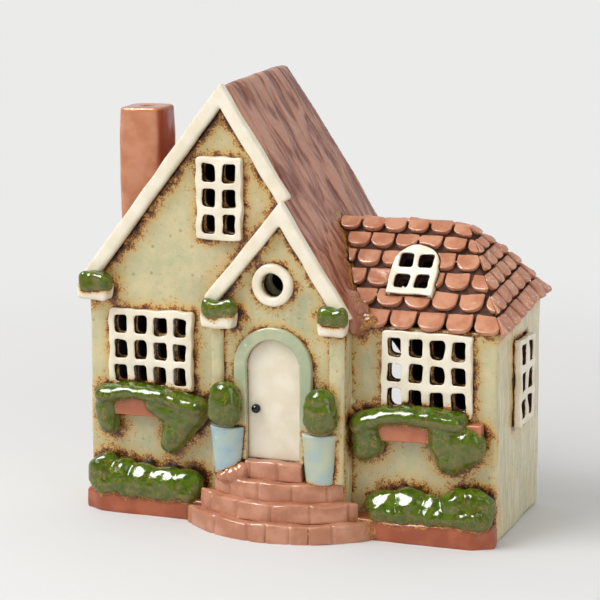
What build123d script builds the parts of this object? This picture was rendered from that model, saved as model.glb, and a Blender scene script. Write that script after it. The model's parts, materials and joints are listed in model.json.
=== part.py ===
from build123d import *
from math import atan, cos, hypot, radians, sin, tan
import os

os.makedirs("parts", exist_ok=True)

# Lengths are in millimetres and angles in degrees. The origin is under the middle of the floor,
# +X points to the wing, +Y to the back and +Z up. "From left" is measured from the outer face of
# the left wall, and the front faces of the house lie at y = front.

# The slabs of the house
house_depth = 66.0
wing_width = 60.0
wall = 5.0
floor_slab = 5.0
lute = 0.1

# The main roof, with its ridge running front to back
left_front_width = 60.0
eave_over_kneeler = 4.8
ridge_rise = 3.5
ridge_round = 3.0
left_pitch = 52.4
right_pitch = 57.0
roof_slab = 5.0
left_eave = 2.5
right_eave = 4.0
back_verge = 2.0

# The wing roof, hipped at its right end
eave_over_wall = 0.6
wing_rise = 36.2
hip_run = 23.0
wing_slab = 3.0

# Shingles on the wing roof
courses = 6
course_shrink = 0.94
shingle_width = 11.6
end_shingle_width = 9.2
shingle_shrink = 0.965
shingle_lip = 2.6
shingle_head = 1.2
shingle_overhang = 2.2
shingle_gap = 1.2
shingle_corner = 0.4
least_shingle = 12.0

# The porch in front of the main gable
porch_depth = 10.0
porch_left_run = 30.0
porch_eave_over_kneeler = 5.93
right_eave_under_kneeler = 0.74
porch_slab = 4.0
porch_eave = 2.0
pilaster_width = 4.5
right_pilaster_width = 6.0
pilaster_relief = 2.5

# Bargeboards, and the kneelers with moss at their feet
board_width = 5.3
board_thick = 4.5
kneeler_height = 6.2
kneeler_splay = 0.8
kneeler_over_window = 3.95
main_kneeler_width = 16.0
main_kneeler_overhang = 2.0
main_kneeler_depth = 8.0
porch_kneeler_width = 16.3
porch_kneeler_overhang = 3.3
right_kneeler_width = 13.6
right_kneeler_overhang = 4.0
porch_kneeler_drop = 45.45
porch_corbel_depth = 7.5
moss_height = 6.0
moss_margin = 1.6

# The chimney on the left slope
chimney_width = 17.0
chimney_depth = 16.0
chimney_from_left = 14.4
chimney_before_middle = 3.0
chimney_drop = 14.7
chimney_edge = 2.0
flue_bore = 6.5

# Casement windows, pierced through their frames and walls
window_rows = 3
wide_columns = 4
narrow_columns = 2
pane_width = 5.6
pane_height = 7.6
pane_corner = 1.2
pane_pitch_across = 8.8
pane_pitch_up = 10.35
frame_margin = 2.6
frame_thick = 3.0
frame_corner = 1.2
window_over_box = 1.45
left_window_off_middle = 1.2
attic_window_off_ridge = 1.4
wing_window_off_middle = 1.2
wall_over_wing_window = 1.25
end_window_off_middle = 1.0
end_window_drop = 7.3
end_pane_width = 6.5
end_pane_height = 8.0
end_pitch_across = 10.5
end_pitch_up = 11.3

# The round porch window and the arched window in the wing roof
round_window_off_middle = 2.0
round_over_door = 8.8
ridge_over_round = 33.85
round_window_outer = 8.5
round_window_bore = 5.0
roof_window_from_seam = 21.0
roof_window_rows = 2
roof_window_up = 12.5
roof_window_width = 19.2
roof_window_side = 13.8
roof_window_thick = 4.6
roof_pane_width = 6.0
roof_pane_height = 6.6
roof_pane_pitch_across = 8.2
roof_pane_pitch_up = 9.7
roof_pane_sill = 2.9

# The door in its arched surround
door_off_middle = 1.8
door_width = 23.4
door_side = 38.2
door_thick = 3.0
door_recess = 1.0
door_clearance = 0.15
surround_width = 4.6
surround_relief = 2.5
knob_inset = 4.1
knob_over_sill = 20.9
knob_radius = 1.9
peg_radius = 0.7
peg_length = 2.0
peg_clearance = 0.1

# Round brick steps
steps = 4
step_centre_behind_front = 22.5
tread = 4.2
riser = 7.3
step_edge = 0.8
brick_angle = 19.4
bond_turn = 1.2
mortar_width = 1.0
mortar_depth = 0.8

# Pots with clipped bushes, half round against the porch
left_pot_beside_door = 7.5
right_pot_beside_door = 8.5
pot_height = 20.5
pot_top_radius = 7.2
pot_foot_radius = 5.4
pot_top_depth = 5.2
pot_foot_depth = 3.3
bush_height = 19.4
bush_radius = 7.3
bush_depth = 5.4
bush_round = 3.0

# Plinths, hedges, window boxes and ivy along the front
plinth_height = 8.0
left_plinth_depth = 8.0
wing_plinth_depth = 9.9
hedge_height = 16.0
hedge_depth = 7.0
left_hedge_gap = 7.5
wing_hedge_gap = 5.5
hedge_round = 4.0
left_box_over_hedge = 17.3
wing_box_over_hedge = 16.1
box_height = 9.0
box_depth = 6.0
box_past_window = 0.4
wing_box_inset = 5.5
ivy_depth = 4.0
ivy_round = 1.8
ivy_band = 7.0
left_ivy_inset = 3.0
left_ivy_gap = 5.6
wing_ivy_gap = 0.3
wing_ivy_inset = 4.7
ivy_over_hedge = 1.3
left_short_over_hedge = 7.3
wing_short_over_hedge = 4.5
ivy_lobe_width = 22.5

# The arched opening in the back, for the candle
arch_radius = 34.0
arch_spring = 42.3

# A standard tealight
cup_radius = 19.0
cup_height = 16.0
cup_skin = 0.5
wax_height = 12.5
wax_clearance = 0.1
wick_radius = 0.7
wick_height = 17.0
tab_radius = 6.0
tab_thick = 0.4
candle_clearance = 0.3


def frame_size(count, pitch, pane):
    """A casement frame's outside, for a count of panes at a pitch."""
    return (count - 1) * pitch + pane + 2 * frame_margin


# Heights, from the ground up: the left front, then the wing's front, then the porch
hedge_top = plinth_height + lute + hedge_height
window_height = frame_size(window_rows, pane_pitch_up, pane_height)
left_box_low = hedge_top + left_box_over_hedge
left_window_low = left_box_low + box_height + window_over_box
main_kneeler_top = left_window_low + window_height + kneeler_over_window + kneeler_height
left_eave_height = main_kneeler_top + eave_over_kneeler

wing_box_low = hedge_top + wing_box_over_hedge
wing_window_low = wing_box_low + box_height + window_over_box
wing_wall_height = wing_window_low + window_height + wall_over_wing_window
wing_eave = wing_wall_height + eave_over_wall
end_window_top = wing_wall_height - end_window_drop

door_sill = steps * riser
pot_stand = (steps - 1) * riser
door_spring = door_sill + door_side
round_window_z = door_spring + door_width / 2 + surround_width + round_over_door + round_window_outer
porch_ridge_height = round_window_z + ridge_over_round
porch_kneeler_top = porch_ridge_height - porch_kneeler_drop
porch_pitch = atan((porch_kneeler_drop - porch_eave_over_kneeler) / (porch_left_run + porch_eave))

# The main ridge stands where a slope up from the left eave meets one up from the porch's ridge
left_rise = tan(radians(left_pitch))
right_rise = tan(radians(right_pitch))
porch_ridge_from_left = left_front_width + porch_left_run
porch_right_run = (porch_kneeler_drop + right_eave_under_kneeler) / right_rise - right_eave
porch_width = porch_left_run + porch_right_run
ridge_from_left = porch_ridge_height - left_eave_height + porch_ridge_from_left * right_rise
ridge_from_left /= left_rise + right_rise
ridge_height = left_eave_height + ridge_from_left * left_rise
chimney_top = ridge_height - chimney_drop

# Places across and in depth
house_width = left_front_width + porch_width + wing_width
left = -house_width / 2
right = house_width / 2
front = -house_depth / 2
back = house_depth / 2
porch_left = left + left_front_width
seam = porch_left + porch_width
main_width = seam - left
ridge_x = left + ridge_from_left
porch_ridge_x = left + porch_ridge_from_left
porch_middle = porch_left + porch_width / 2
porch_front = front - porch_depth
left_window_x = (left + porch_left) / 2 - left_window_off_middle
attic_window_x = ridge_x - attic_window_off_ridge
attic_edge = attic_window_x + frame_size(narrow_columns, pane_pitch_across, pane_width) / 2
over_porch = porch_ridge_height - (porch_ridge_x - attic_edge) * tan(porch_pitch)
under_board = ridge_height - (attic_edge - ridge_x) * right_rise - board_width / cos(radians(right_pitch))
attic_window_low = (over_porch + under_board - window_height) / 2
wing_window_x = (seam + right) / 2 + wing_window_off_middle
roof_window_x = seam + roof_window_from_seam
round_window_x = porch_middle - round_window_off_middle
door_x = porch_middle - door_off_middle
knob_x = door_x - door_width / 2 + knob_inset
knob_z = door_sill + knob_over_sill
chimney_x = left + chimney_from_left
relief_front = porch_front - lute - pilaster_relief
hip_x = right - hip_run
ridge_line = Vector(0, house_depth, ridge_rise).normalized()
wing_pitch = atan(wing_rise / (house_depth / 2))
end_pitch = atan(wing_rise / hip_run)
wing_seat = (wing_wall_height + lute - wing_eave + wing_slab / cos(wing_pitch)) / tan(wing_pitch)
end_seat = (wing_wall_height + lute - wing_eave + wing_slab / cos(end_pitch)) / tan(end_pitch)
low_left = (Align.MIN, Align.MIN)
foot = (Align.CENTER, Align.MIN)
upright = (Align.CENTER, Align.CENTER, Align.MIN)

# The three slopes of the wing roof, each with Y up the slope
front_slope = Plane((0, front, wing_eave), x_dir=(1, 0, 0), z_dir=(0, -sin(wing_pitch), cos(wing_pitch)))
back_slope = Plane((0, back, wing_eave), x_dir=(-1, 0, 0), z_dir=(0, sin(wing_pitch), cos(wing_pitch)))
end_slope = Plane((right, 0, wing_eave), x_dir=(0, 1, 0), z_dir=(sin(end_pitch), 0, cos(end_pitch)))


def facing(y):
    """The upright plane at depth y, seen from the front, with X across and Z up."""
    return Plane.XZ.offset(-y)


def main_slope(side, depth):
    """The plane of a main roof slope, moved in by depth: side is 1 on the right and -1 on the left."""
    pitch = radians(right_pitch if side > 0 else left_pitch)
    rake = Vector(side * cos(pitch), 0, -sin(pitch))
    outward = rake.cross(ridge_line) * side
    return Plane(Vector(ridge_x, front, ridge_height) - outward * depth, x_dir=ridge_line, z_dir=outward)


def outer_height(x):
    """How high the main roof's outer face stands over the front wall at x."""
    if x < ridge_x:
        return ridge_height - (ridge_x - x) * left_rise
    return ridge_height - (x - ridge_x) * right_rise


def porch_slope(depth):
    """The plane of the porch's left slope, moved in by depth."""
    outward = Vector(-sin(porch_pitch), 0, cos(porch_pitch))
    apex = Vector(porch_ridge_x, porch_front, porch_ridge_height)
    return Plane(apex - outward * depth, x_dir=Vector(0, 1, 0), z_dir=outward)


def finish(piece, name):
    """Labels a finished piece and writes its file."""
    piece.part.label = name
    export_step(piece.part, f"parts/{name}.step")


def front_panes(columns, z):
    """The panes of a front window that starts z up, added to the sketch that is being drawn."""
    with Locations((0, z + window_height / 2)):
        with GridLocations(pane_pitch_across, pane_pitch_up, columns, window_rows):
            RectangleRounded(pane_width, pane_height, pane_corner)


def end_panes():
    """The panes of the wing's end window, hung from its top at the current place."""
    with Locations((0, -frame_size(window_rows, end_pitch_up, end_pane_height) / 2)):
        with GridLocations(end_pitch_across, end_pitch_up, narrow_columns, window_rows):
            RectangleRounded(end_pane_width, end_pane_height, pane_corner)


def roof_panes():
    """The panes of the arched roof window, from its foot at the current place."""
    rows_high = (roof_window_rows - 1) * roof_pane_pitch_up + roof_pane_height
    with Locations((0, roof_pane_sill + rows_high / 2)):
        with GridLocations(roof_pane_pitch_across, roof_pane_pitch_up, narrow_columns, roof_window_rows):
            RectangleRounded(roof_pane_width, roof_pane_height, pane_corner)


def arch(width, base, spring):
    """An arched outline about the current place, from base up to a round head."""
    with Locations((0, base)):
        Rectangle(width, spring - base, align=foot)
    with Locations((0, spring)):
        Circle(width / 2)


# Floor, with a tongue that fills the foot of the candle arch
with BuildPart() as base_slab:
    with BuildSketch():
        Rectangle(house_width - 2 * (wall + lute), house_depth - 2 * (wall + lute))
        with Locations((0, back - wall - lute)):
            Rectangle(2 * (arch_radius - lute), wall + lute, align=foot)
    extrude(amount=floor_slab)
finish(base_slab, "base_slab")

# Main gable, cut to the underside of the roof and pierced behind its windows
with BuildPart() as front_wall:
    with BuildSketch(facing(front)):
        with Locations((left, 0)):
            Rectangle(main_width - lute, ridge_height, align=low_left)
    extrude(amount=-wall)
    for side in (1, -1):
        split(bisect_by=main_slope(side, roof_slab + lute), keep=Keep.BOTTOM)
    with BuildSketch(facing(front)):
        with Locations((left_window_x, 0)):
            front_panes(wide_columns, left_window_low)
        with Locations((attic_window_x, 0)):
            front_panes(narrow_columns, attic_window_low)
        with Locations((round_window_x, round_window_z)):
            Circle(round_window_bore)
    extrude(amount=-wall, mode=Mode.SUBTRACT)
finish(front_wall, "front_wall")

# Left wall
with BuildPart() as left_wall:
    with BuildSketch():
        with Locations((left, 0)):
            Rectangle(wall, house_depth - 2 * (wall + lute), align=(Align.MIN, Align.CENTER))
    extrude(amount=ridge_height)
    split(bisect_by=main_slope(-1, roof_slab + lute), keep=Keep.BOTTOM)
finish(left_wall, "left_wall")

# Back wall of house and wing in one slab, with the candle arch
with BuildPart() as back_wall:
    with BuildSketch(facing(back - wall)):
        with Locations((left, 0)):
            Rectangle(main_width, ridge_height + ridge_rise, align=low_left)
    extrude(amount=-wall)
    for side in (1, -1):
        split(bisect_by=main_slope(side, roof_slab + lute), keep=Keep.BOTTOM)
    with BuildSketch(facing(back - wall)):
        with Locations((seam, 0)):
            Rectangle(wing_width, wing_wall_height, align=low_left)
    extrude(amount=-wall)
    with BuildSketch(facing(back - wall)):
        arch(2 * arch_radius, 0, arch_spring)
    extrude(amount=-wall, mode=Mode.SUBTRACT)
finish(back_wall, "back_wall")

# Front and end walls of the wing
with BuildPart() as wing_front_wall:
    with BuildSketch(facing(front)):
        with Locations((seam, 0)):
            Rectangle(wing_width, wing_wall_height, align=low_left)
    extrude(amount=-wall)
    with BuildSketch(facing(front)):
        with Locations((wing_window_x, 0)):
            front_panes(wide_columns, wing_window_low)
    extrude(amount=-wall, mode=Mode.SUBTRACT)
finish(wing_front_wall, "wing_front_wall")

with BuildPart() as wing_end_wall:
    with BuildSketch(Plane.YZ.offset(right)):
        Rectangle(house_depth - 2 * (wall + lute), wing_wall_height, align=foot)
    extrude(amount=-wall)
    with BuildSketch(Plane.YZ.offset(right)):
        with Locations((end_window_off_middle, end_window_top)):
            end_panes()
    extrude(amount=-wall, mode=Mode.SUBTRACT)
finish(wing_end_wall, "wing_end_wall")

# Porch front, with its door opening and round window
with BuildPart() as porch_wall:
    with BuildSketch(facing(porch_front)):
        with Locations((porch_left, 0)):
            Rectangle(porch_width, porch_ridge_height, align=low_left)
    extrude(amount=-wall)
    split(bisect_by=main_slope(1, roof_slab + lute), keep=Keep.BOTTOM)
    split(bisect_by=porch_slope(porch_slab + lute), keep=Keep.BOTTOM)
    with BuildSketch(facing(porch_front)):
        with Locations((door_x, 0)):
            arch(door_width, door_sill, door_spring)
        with Locations((round_window_x, round_window_z)):
            Circle(round_window_bore)
    extrude(amount=-wall, mode=Mode.SUBTRACT)
finish(porch_wall, "porch_wall")

# Porch cheeks, between its front and the main gable
for name, cheek_x in (("porch_cheek_left", porch_left), ("porch_cheek_right", seam - wall)):
    with BuildPart() as cheek:
        with BuildSketch(facing(front - lute)):
            with Locations((cheek_x, 0)):
                Rectangle(wall, porch_ridge_height, align=low_left)
        extrude(amount=porch_depth - wall - 2 * lute)
        split(bisect_by=main_slope(1, roof_slab + lute), keep=Keep.BOTTOM)
        split(bisect_by=porch_slope(porch_slab + lute), keep=Keep.BOTTOM)
    finish(cheek, name)

# Pilasters at the porch's corners, from the third step up to the kneelers
pilaster_top = porch_kneeler_top - kneeler_height - lute
pilasters = (
    ("pilaster_left", porch_left, pilaster_width),
    ("pilaster_right", seam - right_pilaster_width, right_pilaster_width),
)
for name, pilaster_x, width in pilasters:
    with BuildPart() as pilaster:
        with BuildSketch(facing(porch_front - lute)):
            with Locations((pilaster_x, pot_stand + lute)):
                Rectangle(width, pilaster_top - pot_stand - lute, align=low_left)
        extrude(amount=pilaster_relief)
        fillet(pilaster.edges().filter_by(Axis.Z).group_by(Axis.Y)[0], pilaster_relief / 2)
    finish(pilaster, name)


def roof_section(section, low_x, high_x, low_z):
    """The main roof's section in a range of x and above a height, round at the ridge."""
    left_drop = roof_slab / cos(radians(left_pitch))
    right_drop = roof_slab / cos(radians(right_pitch))
    left_foot_x = left - left_eave
    right_foot_x = seam + right_eave
    Polygon(
        (left_foot_x, outer_height(left_foot_x)),
        (ridge_x, ridge_height),
        (right_foot_x, outer_height(right_foot_x)),
        (right_foot_x, outer_height(right_foot_x) - right_drop),
        (ridge_x, ridge_height - right_drop),
        (ridge_x, ridge_height - left_drop),
        (left_foot_x, outer_height(left_foot_x) - left_drop),
    )
    fillet(section.vertices().sort_by(Axis.Y)[-1], ridge_round)
    with Locations((low_x, low_z)):
        Rectangle(high_x - low_x, ridge_height - low_z, align=low_left, mode=Mode.INTERSECT)


# Left slope of the main roof, with the flue passing through it
run = (house_depth + back_verge) / ridge_line.Y
with BuildPart() as main_roof_left:
    with BuildSketch(facing(front)) as section:
        roof_section(section, left - left_eave, ridge_x - lute / 2, 0)
    extrude(amount=run, dir=ridge_line)
    with Locations((chimney_x, -chimney_before_middle, 0)):
        Cylinder(flue_bore / 2, 2 * ridge_height, mode=Mode.SUBTRACT)
finish(main_roof_left, "main_roof_left")

# Right slope, which runs on forwards as the porch's right slope
with BuildPart() as main_roof_right:
    with BuildSketch(facing(front)) as section:
        roof_section(section, ridge_x + lute / 2, seam, 0)
    extrude(amount=run, dir=ridge_line)
    with BuildSketch(facing(front)) as section:
        roof_section(section, porch_ridge_x + lute / 2, seam + right_eave, porch_kneeler_top - kneeler_height)
    extrude(amount=porch_depth / ridge_line.Y, dir=-ridge_line)
finish(main_roof_right, "main_roof_right")

# The porch's left slope
porch_drop = porch_slab / cos(porch_pitch)
porch_foot_x = porch_left - porch_eave
porch_foot = porch_ridge_height - (porch_ridge_x - porch_foot_x) * tan(porch_pitch)
with BuildPart() as porch_roof_left:
    with BuildSketch(facing(front - lute)):
        Polygon(
            (porch_foot_x, porch_foot),
            (porch_ridge_x - lute / 2, porch_ridge_height),
            (porch_ridge_x - lute / 2, porch_ridge_height - porch_drop),
            (porch_foot_x, porch_foot - porch_drop),
        )
    extrude(amount=porch_depth - lute)
finish(porch_roof_left, "porch_roof_left")

# The planes that the wing roof's pieces are cut to
slope_length = house_depth / 2 / cos(wing_pitch)
end_length = hip_run / cos(end_pitch)
valley = main_slope(1, -lute)


def hip_plane(side, gap):
    """The upright plane through a hip, gap towards the end slope: side is -1 in front and 1 behind."""
    outward = Vector(house_depth / 2, -side * hip_run, 0).normalized()
    return Plane(Vector(hip_x, 0, 0) + outward * gap, x_dir=Vector(0, 0, 1), z_dir=outward)


def trim_long_slope(side, gap):
    """Cuts the piece that is being built to a front or back slope, between valley, ridge and hip."""
    split(bisect_by=valley, keep=Keep.TOP)
    split(bisect_by=Plane((0, side * gap, 0), x_dir=(1, 0, 0), z_dir=(0, -side, 0)), keep=Keep.BOTTOM)
    split(bisect_by=hip_plane(side, -gap), keep=Keep.BOTTOM)


def trim_end_slope(gap):
    """Cuts the piece that is being built to the end slope, between the two hips."""
    for side in (-1, 1):
        split(bisect_by=hip_plane(side, gap), keep=Keep.TOP)


# Wing roof slabs, cut plumb where their undersides meet the tops of the walls
slab_reach = 2 * house_width
with BuildPart() as wing_roof_front:
    with BuildSketch(front_slope):
        Rectangle(slab_reach, 2 * slope_length, align=Align.CENTER)
    extrude(amount=-wing_slab)
    trim_long_slope(-1, lute)
    split(bisect_by=facing(front + wing_seat), keep=Keep.BOTTOM)
    with BuildSketch(front_slope):
        with Locations((roof_window_x, roof_window_up)):
            roof_panes()
    extrude(amount=-wing_slab, mode=Mode.SUBTRACT)
finish(wing_roof_front, "wing_roof_front")

with BuildPart() as wing_roof_back:
    with BuildSketch(back_slope):
        Rectangle(slab_reach, 2 * slope_length, align=Align.CENTER)
    extrude(amount=-wing_slab)
    trim_long_slope(1, lute)
    split(bisect_by=facing(back - wing_seat), keep=Keep.TOP)
finish(wing_roof_back, "wing_roof_back")

with BuildPart() as wing_roof_end:
    with BuildSketch(end_slope):
        Rectangle(slab_reach, 2 * end_length, align=Align.CENTER)
    extrude(amount=-wing_slab)
    trim_end_slope(lute)
    split(bisect_by=Plane.YZ.offset(right - end_seat), keep=Keep.BOTTOM)
finish(wing_roof_end, "wing_roof_end")


def shingle(width, length):
    """One wedge-shaped shingle with a rounded lip, lying on XY with its lip at y = 0."""
    with BuildPart() as made:
        with BuildSketch(Plane.YZ):
            Polygon((0, 0), (length, 0), (length, shingle_head), (0, shingle_lip))
        extrude(amount=width / 2, both=True)
        with BuildSketch() as outline:
            Rectangle(width, length, align=foot)
            fillet(outline.vertices().group_by(Axis.Y)[0], shingle_corner * width)
        extrude(amount=shingle_lip, mode=Mode.INTERSECT)
    return made.part


def laid(slope, length, reach, first_width, from_x):
    """The shingles of one slope in their places, course by course from the eave."""
    exposure = (length + shingle_overhang) * (1 - course_shrink) / (1 - course_shrink**courses)
    up = -shingle_overhang
    width = first_width
    placed = []
    for course in range(courses):
        piece = shingle(width - shingle_gap, exposure - shingle_gap)
        first = from_x + width * (course % 2) / 2
        for place in range(int(reach / width) + 1):
            placed.append(slope.location * Pos(first + place * width, up, lute) * piece)
        up += exposure
        exposure *= course_shrink
        width *= shingle_shrink
    return placed


def whole_shingles(piece):
    """Leaves out the slivers where a course runs out at a hip or valley."""
    return Part() + [s for s in piece.part.solids() if s.volume > least_shingle]


wing_reach = right - porch_ridge_x + shingle_overhang
front_laid = laid(front_slope, slope_length, wing_reach, shingle_width, porch_ridge_x)
back_laid = laid(back_slope, slope_length, wing_reach, shingle_width, -right)
end_laid = laid(end_slope, end_length, house_depth + end_shingle_width, end_shingle_width, front)

# Shingles on the front slope, cut round the arched window
with BuildPart() as front_courses:
    add(front_laid)
    trim_long_slope(-1, 2 * lute)
    with BuildSketch(front_slope):
        with Locations((roof_window_x, roof_window_up)):
            arch(roof_window_width + 2 * lute, -lute, roof_window_side)
    extrude(amount=2 * shingle_lip, mode=Mode.SUBTRACT)
with BuildPart() as front_shingles:
    add(whole_shingles(front_courses))
finish(front_shingles, "front_shingles")

with BuildPart() as back_courses:
    add(back_laid)
    trim_long_slope(1, 2 * lute)
with BuildPart() as back_shingles:
    add(whole_shingles(back_courses))
finish(back_shingles, "back_shingles")

with BuildPart() as end_courses:
    add(end_laid)
    trim_end_slope(2 * lute)
with BuildPart() as end_shingles:
    add(whole_shingles(end_courses))
finish(end_shingles, "end_shingles")

# Arched window on the wing roof, its panes pierced through the slab
with BuildPart() as roof_window:
    with BuildSketch(front_slope.offset(lute)):
        with Locations((roof_window_x, roof_window_up)):
            arch(roof_window_width, 0, roof_window_side)
    extrude(amount=roof_window_thick)
    with BuildSketch(front_slope.offset(lute)):
        with Locations((roof_window_x, roof_window_up)):
            roof_panes()
    extrude(amount=roof_window_thick, mode=Mode.SUBTRACT)
finish(roof_window, "roof_window")

# Chimney, cut to the slope it stands on and bored for the flue
with BuildPart() as chimney:
    with BuildSketch():
        with Locations((chimney_x, -chimney_before_middle)):
            RectangleRounded(chimney_width, chimney_depth, chimney_edge)
            Circle(flue_bore / 2, mode=Mode.SUBTRACT)
    extrude(amount=chimney_top)
    split(bisect_by=main_slope(-1, -lute), keep=Keep.TOP)
finish(chimney, "chimney")


def board(y, line, cut_low, cut_side):
    """A bargeboard under a sloping line, from its foot height to the apex, thick forwards from y."""
    (low_x, low_z), (high_x, high_z) = line
    pitch = atan((high_z - low_z) / abs(high_x - low_x))
    drop = board_width / cos(pitch)
    with BuildPart() as made:
        with BuildSketch(facing(y)):
            Polygon((low_x, low_z), (high_x, high_z), (high_x, high_z - drop), (low_x, low_z - drop))
            with Locations((high_x, cut_low)):
                kept = (cut_side, Align.MIN)
                Rectangle(abs(high_x - low_x), high_z - cut_low, align=kept, mode=Mode.INTERSECT)
        extrude(amount=board_thick)
    return made


# Bargeboards: the two of the main gable, then the two of the porch
left_foot = (left - left_eave, outer_height(left - left_eave))
bargeboard_main_left = board(
    front - lute, (left_foot, (ridge_x - lute / 2, ridge_height)), main_kneeler_top + lute, Align.MAX
)
finish(bargeboard_main_left, "bargeboard_main_left")

right_foot = (seam, outer_height(seam))
with BuildPart() as bargeboard_main_right:
    add(board(front - lute, (right_foot, (ridge_x + lute / 2, ridge_height)), 0, Align.MIN).part)
    split(bisect_by=porch_slope(-lute), keep=Keep.TOP)
finish(bargeboard_main_right, "bargeboard_main_right")

porch_left_line = ((porch_foot_x, porch_foot), (porch_ridge_x - lute / 2, porch_ridge_height))
bargeboard_porch_left = board(porch_front - lute, porch_left_line, porch_kneeler_top + lute, Align.MAX)
finish(bargeboard_porch_left, "bargeboard_porch_left")

porch_right_foot = (seam + right_eave, outer_height(seam + right_eave))
porch_right_line = (porch_right_foot, (porch_ridge_x + lute / 2, porch_ridge_height))
bargeboard_porch_right = board(porch_front - lute, porch_right_line, porch_kneeler_top + lute, Align.MIN)
finish(bargeboard_porch_right, "bargeboard_porch_right")


def kneeler(x, top, width, y, depth):
    """A corbel that a bargeboard stands on, splayed in at its foot."""
    low = top - kneeler_height
    with BuildPart() as made:
        with BuildSketch(facing(y)):
            Polygon(
                (x, top),
                (x + width, top),
                (x + width - kneeler_splay, low),
                (x + kneeler_splay, low),
                )
        extrude(amount=depth)
    return made


def clump(x, z, width, height, y, depth, rounding):
    """A domed lump of clay pressed on at depth y, with its lower left corner at x and z."""
    with BuildPart() as made:
        with BuildSketch(facing(y)):
            with Locations((x + width / 2, z + height / 2)):
                RectangleRounded(width, height, min(width, height) * 0.4)
        extrude(amount=depth)
        fillet(made.edges().group_by(Axis.Y)[0], min(rounding, 0.3 * min(width, height, 2 * depth)))
    return made


# Kneelers at the feet of the bargeboards, each with moss on it in front of the board
main_kneeler_x = left - main_kneeler_overhang
left_kneeler_x = porch_left - porch_kneeler_overhang
right_kneeler_x = seam + right_kneeler_overhang - right_kneeler_width
kneelers = (
    ("main", main_kneeler_x, main_kneeler_top, main_kneeler_width, front, main_kneeler_depth),
    ("porch_left", left_kneeler_x, porch_kneeler_top, porch_kneeler_width, porch_front, porch_corbel_depth),
    ("porch_right", right_kneeler_x, porch_kneeler_top, right_kneeler_width, porch_front, porch_corbel_depth),
)
for name, kneeler_x, top, width, face, depth in kneelers:
    finish(kneeler(kneeler_x, top, width, face - lute, depth), f"kneeler_{name}")
    moss_back = face - 2 * lute - board_thick
    moss_depth = depth - board_thick - lute
    moss = clump(
        kneeler_x + moss_margin,
        top + lute,
        width - 2 * moss_margin,
        moss_height,
        moss_back,
        moss_depth,
        moss_depth / 2,
    )
    finish(moss, f"moss_{name}")


# Window frames on the front
front_windows = (
    ("attic_window", attic_window_x, attic_window_low, narrow_columns),
    ("left_window", left_window_x, left_window_low, wide_columns),
    ("wing_window", wing_window_x, wing_window_low, wide_columns),
)
for name, window_x, low, columns in front_windows:
    with BuildPart() as window:
        with BuildSketch(facing(front - lute)):
            with Locations((window_x, low + window_height / 2)):
                width = frame_size(columns, pane_pitch_across, pane_width)
                RectangleRounded(width, window_height, frame_corner)
        extrude(amount=frame_thick)
        with BuildSketch(facing(front - lute)):
            with Locations((window_x, 0)):
                front_panes(columns, low)
        extrude(amount=frame_thick, mode=Mode.SUBTRACT)
    finish(window, name)

# Window frame on the wing's end
with BuildPart() as end_window:
    with BuildSketch(Plane.YZ.offset(right + lute)):
        end_frame_height = frame_size(window_rows, end_pitch_up, end_pane_height)
        with Locations((end_window_off_middle, end_window_top - end_frame_height / 2)):
            end_frame_width = frame_size(narrow_columns, end_pitch_across, end_pane_width)
            RectangleRounded(end_frame_width, end_frame_height, frame_corner)
    extrude(amount=frame_thick)
    with BuildSketch(Plane.YZ.offset(right + lute)):
        with Locations((end_window_off_middle, end_window_top)):
            end_panes()
    extrude(amount=frame_thick, mode=Mode.SUBTRACT)
finish(end_window, "end_window")

# Round window ring on the porch
with BuildPart() as round_window:
    with BuildSketch(facing(porch_front - lute)):
        with Locations((round_window_x, round_window_z)):
            Circle(round_window_outer)
            Circle(round_window_bore, mode=Mode.SUBTRACT)
    extrude(amount=frame_thick)
    fillet(round_window.edges().group_by(Axis.Y)[0], frame_thick / 3)
finish(round_window, "round_window")

# Door, its arched surround and its knob on a peg
door_face = porch_front + door_recess
with BuildPart() as door:
    with BuildSketch(facing(door_face)):
        with Locations((door_x, 0)):
            arch(door_width - 2 * door_clearance, door_sill + lute, door_spring)
    extrude(amount=-door_thick)
    with BuildSketch(facing(door_face)):
        with Locations((knob_x, knob_z)):
            Circle(peg_radius + peg_clearance)
    extrude(amount=-peg_length - peg_clearance, mode=Mode.SUBTRACT)
finish(door, "door")

with BuildPart() as door_surround:
    with BuildSketch(facing(porch_front - lute)):
        with Locations((door_x, 0)):
            arch(door_width + 2 * surround_width, door_sill + lute, door_spring)
    extrude(amount=surround_relief)
    with BuildSketch(facing(porch_front - lute)):
        with Locations((door_x, 0)):
            arch(door_width, door_sill, door_spring)
    extrude(amount=surround_relief, mode=Mode.SUBTRACT)
finish(door_surround, "door_surround")

with BuildPart() as door_knob:
    with Locations((knob_x, door_face - knob_radius - lute, knob_z)):
        Sphere(knob_radius)
    with BuildSketch(facing(door_face - knob_radius - lute)):
        with Locations((knob_x, knob_z)):
            Circle(peg_radius)
    extrude(amount=-(knob_radius + lute + peg_length))
finish(door_knob, "door_knob")

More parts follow.
